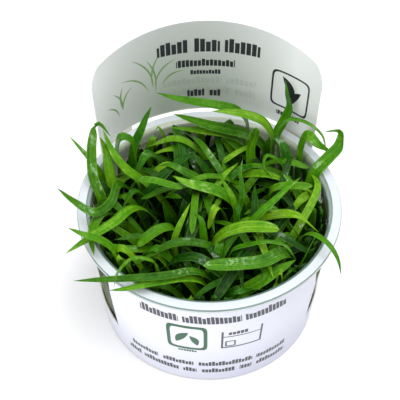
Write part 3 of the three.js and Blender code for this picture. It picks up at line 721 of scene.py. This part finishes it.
# Where the leaves already are: cells marked round sample points of each leaf. 1 is too near for
# another leaf, and 2 is too near even where leaves stand close together at their feet. The
# samples are further apart than the marks reach, so some blades still cross between them.

taken = np.zeros(GRID_CELLS, np.uint8)


def ball(radius):
    """Steps to the cells within a radius."""
    reach = math.ceil(radius / CELL)
    steps = np.arange(-reach, reach + 1)
    offsets = np.stack(np.meshgrid(steps, steps, steps), -1).reshape(-1, 3)
    return offsets[np.linalg.norm(offsets, axis=1) * CELL <= radius]


NEAR, TOUCHING = ball(CLEARANCE), ball(FUSED_CLEARANCE)


def cells_of(points):
    cells = ((points + (GRID_REACH, GRID_REACH, 0)) / CELL).astype(int)
    return np.clip(cells, GRID_MARGIN, np.array(GRID_CELLS) - GRID_MARGIN - 1)


def claim(leaf):
    cells = cells_of(leaf.samples())
    for offsets, mark in ((NEAR, 1), (TOUCHING, 2)):
        i, j, k = (cells[:, None] + offsets[None]).reshape(-1, 3).T
        taken[i, j, k] = np.maximum(taken[i, j, k], mark)


def has_room(leaf):
    """Whether a leaf's sample points keep off the wall, the dark gap in the tuft and the cells
    that are taken. The channel and ripple of its blade aren't in them."""
    points = leaf.samples(2)
    z, out = points[:, 2], np.hypot(points[:, 0], points[:, 1])
    wall = inner_wall(np.minimum(z, CUP_HEIGHT - LID_SEAT_DEPTH))
    gap = (np.hypot(*(points[:, :2] - GAP_PLACE).T) < GAP_RADIUS) & (z > GAP_FLOOR)
    if z.max() > HIGHEST_FILLING or (out > wall - WALL_GAP * 0.7).any() or gap.any():
        return False
    root = leaf.places[0]
    fused = (np.hypot(*(points[:, :2] - root[:2]).T) < FUSED_RADIUS) & (z < GEL_TOP + FUSED_HEIGHT)
    i, j, k = cells_of(points).T
    return not (taken[i, j, k] > np.where(fused, 1, 0)).any()


def rings_of(node, start):
    """Layers of vertices outwards from the ones that start picks, over a copy of a node's mesh."""
    copy = bmesh.new()
    copy.from_mesh(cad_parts[node].data)
    bmesh.ops.remove_doubles(copy, verts=copy.verts, dist=SAME_PLACE)
    copy.verts.ensure_lookup_table()
    layers = []
    for first in start(copy):
        seen, layer, found = set(first), list(first), []
        while layer:
            found.append(np.array([v.co / MM for v in layer]))
            layer = list({e.other_vert(v) for v in layer for e in v.link_edges} - seen)
            seen.update(layer)
        layers.append(found)
    copy.free()
    return layers


def ring_facts(ring):
    """Middle, width direction and half width of a ring of four corners."""
    gaps = np.linalg.norm(ring[:, None] - ring[None], axis=2)
    a, b = np.unravel_index(gaps.argmax(), gaps.shape)
    middle = np.delete(ring, [a, b], 0).mean(0)
    return middle, unit(ring[a] - ring[b]), gaps[a, b] / 2


def long_leaf(node, n):
    """The leaf of a node, from its foot up. A blunt one has more rings."""
    (layers,) = rings_of(node, lambda copy: [[v for v in copy.verts if v.co.z < FOOT_TOP * MM]])
    rings = [layer for layer in layers if len(layer) == LEAF_CORNERS]
    middles, sides, halves = zip(*(ring_facts(ring) for ring in rings))
    dice = random.Random(n)
    tone = TONES.get(node.removeprefix("leaf_"), 0.35 + 0.3 * dice.random())
    return Leaf([*middles, layers[-1][0]], sides, 2 * max(halves), BLADE_STEPS,
                len(rings) > BLUNT_RINGS, tone, dice.random() * 0.5)


def young_leaves(node, n):
    """The leaves of a young plant as its node has them, from their tips down."""
    def is_tip(v):
        ring = [e.other_vert(v) for e in v.link_edges]
        return (len(ring) == LEAF_CORNERS and v.co.z > YOUNG_TIP_FLOOR * MM
                and max((r.co - v.co).length for r in ring) < YOUNG_TIP_LENGTH * MM
                and v.co.z > max(r.co.z for r in ring) - YOUNG_TIP_DROP * MM
                and all(len(r.link_edges) in YOUNG_TIP_EDGES for r in ring))

    foot = np.array([v.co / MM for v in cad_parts[node].data.vertices])
    centre = foot[foot[:, 2] < FOOT_TOP].mean(0)
    leaves = []
    for j, layers in enumerate(rings_of(node, lambda copy: [[v] for v in copy.verts if is_tip(v)])):
        rings = []
        for layer in layers[1:]:
            if len(layer) != LEAF_CORNERS or layer[:, 2].min() < STEM_TOP:
                break
            rings.insert(0, layer)
        if len(rings) < 2:
            continue
        middles, sides, halves = zip(*(ring_facts(ring) for ring in rings))
        out = (middles[0] - centre) * (1, 1, 0)
        root = centre + out * min(1, YOUNG_ROOT_REACH / np.linalg.norm(out))
        dice = random.Random(YOUNG_SEED * n + j)
        leaves.append(Leaf([root, *middles, layers[0][0]], [sides[0], *sides], 2 * max(halves),
                           YOUNG_STEPS, False, 0.15 + 0.35 * dice.random(), dice.random() * 0.4))
    return centre, leaves


def filling_leaf(dice, heights, reaches, droops, widths, ring, fan):
    """A leaf of a chance shape between the bounds given, rooted in the gel and kept off the
    wall; nothing if the cells on its way are taken."""
    height, width = dice.uniform(*heights), dice.uniform(*widths)
    reach, droop = dice.uniform(*reaches) * height, dice.uniform(*droops) * height
    turn = dice.uniform(0, 2 * math.pi)
    out = math.sqrt(dice.uniform(ring[0] ** 2, ring[1] ** 2))
    root = np.array([out * math.cos(turn), out * math.sin(turn), GEL_TOP - ROOT_DEPTH])
    heading = turn + math.radians(dice.uniform(-fan, fan))
    away = np.array([math.cos(heading), math.sin(heading), 0])
    aside = np.array([-away[1], away[0], 0]) * dice.uniform(-MOST_SWERVE, MOST_SWERVE) * reach
    course = [(far, swerve, rise * height) for far, swerve, rise in FILLING_COURSE]
    points = [root] + [root + away * reach * far + aside * swerve + (0, 0, rise)
                       for far, swerve, rise in (*course, (1, 1.1, height - droop))]
    for point in points[1:]:
        most = inner_wall(min(point[2], CUP_HEIGHT - LID_SEAT_DEPTH)) - WALL_GAP - width * 0.3
        point[:2] *= min(1, most / math.hypot(point[0], point[1]))
    i, j, k = cells_of(np.array(points[2:])).T
    if taken[i, j, k].any():
        return None
    start = heading + math.pi / 2 + dice.uniform(-MOST_EDGE_TURN, MOST_EDGE_TURN)
    spin = dice.uniform(-MOST_EDGE_SPIN, MOST_EDGE_SPIN)
    sides = [(math.cos(start + spin * k / 4), math.sin(start + spin * k / 4), 0) for k in range(5)]
    # The tone is by chance, and darker the shorter the leaf: painted shade low in the tuft.
    return Leaf(points, sides, width, YOUNG_STEPS, dice.random() < BLUNT_SHARE,
                0.8 * dice.random() ** 1.3 * (height + 10) / 45, dice.random() * 0.7)


def all_leaves():
    """The long leaves first, then the young plants' own, then the filling, which goes to the
    piece of the nearest young plant."""
    def nodes(start):
        return enumerate(sorted(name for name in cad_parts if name.startswith(start)))

    for n, node in nodes("leaf_"):
        leaf = long_leaf(node, n)
        claim(leaf)
        piece(blades(node + "_blade", [leaf], n), node)
    plants = []
    for n, node in nodes("young_plant_"):
        centre, leaves = young_leaves(node, n)
        for leaf in leaves:
            claim(leaf)
        plants.append((node, centre, leaves))
    dice = random.Random(FILLING_SEED)
    for tries, *bounds in FILLINGS:
        for _ in range(tries):
            leaf = filling_leaf(dice, *bounds)
            if leaf and has_room(leaf):
                claim(leaf)
                nearest = min(plants, key=lambda plant: np.linalg.norm(plant[1] - leaf.places[0]))
                nearest[2].append(leaf)
    for n, (node, _, leaves) in enumerate(plants):
        piece(blades(node + "_leaves", leaves, YOUNG_SEED + n), node)


# The cup, turned from its section

def turned(name, profile, sides):
    """A lathe about Z; a point on the axis is one vertex."""
    points, rows = [], []
    for radius, height in profile:
        count = 1 if radius == 0 else sides
        rows.append(range(len(points), len(points) + count))
        for i in range(count):
            angle = 2 * math.pi * i / sides
            points.append((radius * math.cos(angle) * MM, radius * math.sin(angle) * MM,
                           height * MM))
    faces = []
    for low, high in zip(rows, rows[1:]):
        for i in range(sides):
            k = (i + 1) % sides
            corner = [low[i % len(low)], low[k % len(low)],
                      high[k % len(high)], high[i % len(high)]]
            faces.append(list(dict.fromkeys(corner)))
    return mesh_of(name, points, faces)


def rounded(profile, radius):
    """The profile with the corners between its ends rounded off."""
    result = [profile[0]]
    for a, b, c in zip(profile, profile[1:], profile[2:]):
        a, b, c = np.array(a, float), np.array(b, float), np.array(c, float)
        reach = min(radius, np.linalg.norm(a - b) * ROUND_SHARE, np.linalg.norm(c - b) * ROUND_SHARE)
        start = b + (a - b) / np.linalg.norm(a - b) * reach
        end = b + (c - b) / np.linalg.norm(c - b) * reach
        for i in range(ROUND_STEPS + 1):
            t = i / ROUND_STEPS
            result.append(tuple((1 - t) ** 2 * start + 2 * t * (1 - t) * b + t * t * end))
    result.append(profile[-1])
    return result


def outer_wall(height):
    """Radius of the wall, which is steeper above its knee."""
    return (CUP_BASE_RADIUS + WALL_SLOPE * np.minimum(height, WALL_KNEE)
            + UPPER_SLOPE * np.maximum(0, height - WALL_KNEE))


def inner_wall(height):
    return outer_wall(height) - WALL


def cup():
    under, seat = CUP_HEIGHT - FLANGE_THICKNESS, CUP_HEIGHT - LID_SEAT_DEPTH
    lip, skirt = CUP_HEIGHT - FLANGE_LIP, FLANGE_RADIUS - FLANGE_SKIRT
    seat_radius, seat_end = inner_wall(seat) + LID_SEAT_STEP, seat - LID_SEAT_STEP
    fillet, corner = under - FLANGE_FILLET, FLOOR + FLOOR_CORNER
    profile = [
        (0, 0), (CUP_BASE_RADIUS - BASE_CHAMFER, 0), (outer_wall(BASE_CHAMFER), BASE_CHAMFER),
        (outer_wall(WALL_KNEE), WALL_KNEE), (outer_wall(fillet), fillet), (MOUTH_RADIUS, under),
        (skirt, under), (skirt, lip), (FLANGE_RADIUS, lip),
        *((FLANGE_RADIUS, lip + line) for line in LIP_LINE),
        (FLANGE_RADIUS, CUP_HEIGHT - FLANGE_CHAMFER), (FLANGE_RADIUS - FLANGE_CHAMFER, CUP_HEIGHT),
        (MOUTH_RADIUS + MOUTH_LINE, CUP_HEIGHT), (MOUTH_RADIUS, CUP_HEIGHT),
        (MOUTH_RADIUS - MOUTH_BEVEL, CUP_HEIGHT - MOUTH_BEVEL / 2),
        (seat_radius, CUP_HEIGHT - LID_SEAT_TOP), (seat_radius - LID_SEAT_DRAFT, seat),
        (inner_wall(seat_end), seat_end), (inner_wall(WALL_KNEE), WALL_KNEE),
        (inner_wall(corner), corner), (inner_wall(FLOOR) - FLOOR_CORNER, FLOOR), (0, FLOOR)]
    mesh = turned("clear cup", rounded(profile, CUP_ROUNDING), CUP_SIDES)
    r, z = np.array([(math.hypot(v.co.x, v.co.y) / MM, v.co.z / MM) for v in mesh.vertices]).T
    # These bounds lie between the rings of the profile
    seat_side = (r < MOUTH_RADIUS + 0.1) & (
        (z > under + 0.2) | ((z > seat) & (r < outer_wall(z) - 0.3)))
    edge = (r > FLANGE_RADIUS - 0.15) & (z > lip + 0.85) & (z < CUP_HEIGHT - 0.1)
    put(mesh, "milk", np.where(seat_side | (z > under - 0.2) | (r > FLANGE_RADIUS - 0.7), 0.8, 0.0))
    # seat marks where painted shade goes: the lid seat, and a thin line on the flange's outer edge
    put(mesh, "seat", np.where(seat_side, 1.0, np.where(edge, 0.9, 0.0)))
    mesh.materials.append(CLEAR_PLASTIC)
    piece(new_object("clear_cup", mesh), "cup")


def gel():
    def radius(height): return inner_wall(height) - GEL_GAP
    profile = [(0, FLOOR), (radius(FLOOR) - FLOOR_CORNER, FLOOR),
               (radius(FLOOR + FLOOR_CORNER), FLOOR + FLOOR_CORNER),
               (radius(GEL_TOP), GEL_TOP), (0, GEL_TOP)]
    mesh = turned("growing gel", rounded(profile, GEL_ROUNDING), GEL_SIDES)
    mesh.materials.append(GEL)
    piece(new_object("gel_bed", mesh), "growing_gel")


# The label card, bent round the cup

def card_radius(bearing, height):
    """Radius of the inner face: along the wall, or out to the header on its legs."""
    wall = outer_wall(height) + CARD_GAP
    header = HEADER_RADIUS + HEADER_LEAN * max(0, height - CARD_TOP)
    if height > CARD_TOP:
        return header
    leg = smooth(WINDOW_BACK_ANGLE, LEG_OUTER_ANGLE, bearing) * (
        1 - smooth(LEG_INNER_ANGLE, LEG_INNER_ANGLE + LEG_BLEND_ANGLE, bearing))
    return wall + (header - wall) * leg * smooth(FLARE_START, CARD_TOP, height)


def card_turn(height):
    """How far the front of the label is turned from the front of the cup, in degrees."""
    return CARD_TURN + (HEADER_TURN - CARD_TURN) * smooth(FLARE_START, HEADER_BOTTOM, height)


def label_card():
    breaks = [0, FRONT_HALF_ANGLE, WINDOW_BACK_ANGLE, LEG_OUTER_ANGLE,
              LEG_OUTER_ANGLE + HEADER_CORNER_ANGLE, LEG_INNER_ANGLE, 180]
    half = [0.0]
    for low, high in zip(breaks, breaks[1:]):
        pieces = round((high - low) / CARD_STEP_ANGLE)
        half += [low + (high - low) * (i + 1) / pieces for i in range(pieces)]
    half += [LEG_OUTER_ANGLE + step for step in CARD_CORNER_STEPS]
    half.sort()
    bearings = half + [-b for b in half[-2:0:-1]]

    def sill(b):
        t = (b - FRONT_HALF_ANGLE) / (WINDOW_BACK_ANGLE - FRONT_HALF_ANGLE)
        return WINDOW_SILL_FRONT + (WINDOW_SILL_BACK - WINDOW_SILL_FRONT) * min(1, max(0, t))

    def header_top(b):
        inside = max(0, b - LEG_OUTER_ANGLE)
        arch = 1 - inside / (180 - LEG_OUTER_ANGLE)
        corner = max(0, 1 - inside / HEADER_CORNER_ANGLE)
        return (HEADER_TOP - HEADER_ARCH * arch ** 2
                - HEADER_CORNER_DROP * (1 - math.sqrt(1 - corner ** 2)))

    levels = [lambda b: CARD_FOOT, sill, lambda b: FLARE_START, lambda b: CARD_TOP,
              lambda b: HEADER_BOTTOM, header_top]
    rows = [(k, i / count) for k, count in enumerate(CARD_BAND_ROWS) for i in range(count)]
    bands = [k for k, _ in rows]
    rows.append((bands[-1], 1.0))

    def is_card(b, band):
        """Whole below the sills, open at the windows, and only legs and header higher up."""
        if band == 0:
            return True
        if band < 3:
            return not FRONT_HALF_ANGLE < b < WINDOW_BACK_ANGLE
        return LEG_OUTER_ANGLE < b and (band == 4 or b < LEG_INNER_ANGLE)

    points, facts = [], []
    for bearing in bearings:
        b = abs(bearing)
        for k, share in rows:
            z = levels[k](b) * (1 - share) + levels[k + 1](b) * share
            for side in (0, 1):
                radius = card_radius(b, z) + side * CARD
                angle = math.radians(bearing + card_turn(z))
                points.append((radius * math.sin(angle) * MM, -radius * math.cos(angle) * MM,
                               z * MM))
                facts.append((bearing, z, 1 - side, bearing - math.copysign(180, bearing),
                              b < PRINT_END_ANGLE))
    count, tall = len(bearings), len(rows)

    def corner(i, row, side): return ((i % count) * tall + row) * 2 + side

    def middle(i):
        here, after = abs(bearings[i % count]), abs(bearings[(i + 1) % count])
        return (here + after) / 2

    def present(i, row): return 0 <= row < tall - 1 and is_card(middle(i), bands[row])

    faces = []
    for i in range(count):
        for row in range(tall - 1):
            if not present(i, row):
                continue
            a, b, c, d = [[corner(x, y, side) for side in (0, 1)]
                          for x, y in ((i, row), (i + 1, row), (i + 1, row + 1), (i, row + 1))]
            faces += [(a[1], b[1], c[1], d[1]), (a[0], d[0], c[0], b[0])]
            if not present(i, row - 1):
                faces.append((a[0], b[0], b[1], a[1]))
            if not present(i, row + 1):
                faces.append((c[0], d[0], d[1], c[1]))
            if not present(i - 1, row):
                faces.append((d[0], a[0], a[1], d[1]))
            if not present(i + 1, row):
                faces.append((b[0], c[0], c[1], b[1]))
    used = sorted({v for face in faces for v in face})
    number = {v: n for n, v in enumerate(used)}
    mesh = mesh_of("label card", [points[v] for v in used],
                   [[number[v] for v in face] for face in faces])
    for k, name in enumerate(("bearing", "height", "inner", "back", "front")):
        put(mesh, name, [facts[v][k] for v in used])
    mesh.materials.append(LABEL_CARD)
    mesh.set_sharp_from_angle(angle=math.radians(CARD_SHARP_ANGLE))
    piece(new_object("wrap_label", mesh), "label_card")


cup()
gel()
label_card()
all_leaves()


# Floor, lights and camera

def soft_light(name, place, size, power):
    light = bpy.data.lights.new(name, "AREA")
    light.energy, light.size = power, size
    lamp = new_object(name, light)
    lamp.location = place
    lamp.rotation_euler = (LIT_PLACE - Vector(place)).to_track_quat("-Z", "Y").to_euler()


def studio():
    floor = bmesh.new()
    bmesh.ops.create_circle(floor, cap_ends=True, segments=96, radius=FLOOR_RADIUS)
    mesh = bpy.data.meshes.new("floor")
    floor.to_mesh(mesh)
    floor.free()
    mesh.materials.append(PALE_FLOOR)
    new_object("floor", mesh)
    soft_light("overhead", (0.1, -0.15, 0.9), 0.7, 8)
    soft_light("left front", (-0.5, -0.8, 0.5), 0.5, 4)
    soft_light("right back", (0.6, 0.4, 0.7), 0.5, 2.5)
    world = bpy.data.worlds.new("studio")
    world.use_nodes = True
    background = world.node_tree.nodes["Background"]
    background.inputs["Color"].default_value = (1, 1, 1, 1)
    background.inputs["Strength"].default_value = WORLD_STRENGTH
    bpy.context.scene.world = world
    bpy.context.scene.view_settings.view_transform = "Standard"


def camera():
    lens = bpy.data.cameras.new("photo camera")
    lens.lens, lens.sensor_width = CAMERA_LENS, SENSOR_WIDTH
    lens.clip_start = 0.01
    eye = new_object("photo camera", lens)
    tilt = math.radians(CAMERA_ELEVATION)
    eye.location = CAMERA_TARGET + CAMERA_DISTANCE * Vector((0, -math.cos(tilt), math.sin(tilt)))
    eye.rotation_euler = (math.pi / 2 - tilt, 0, 0)
    bpy.context.scene.camera = eye


studio()
camera()
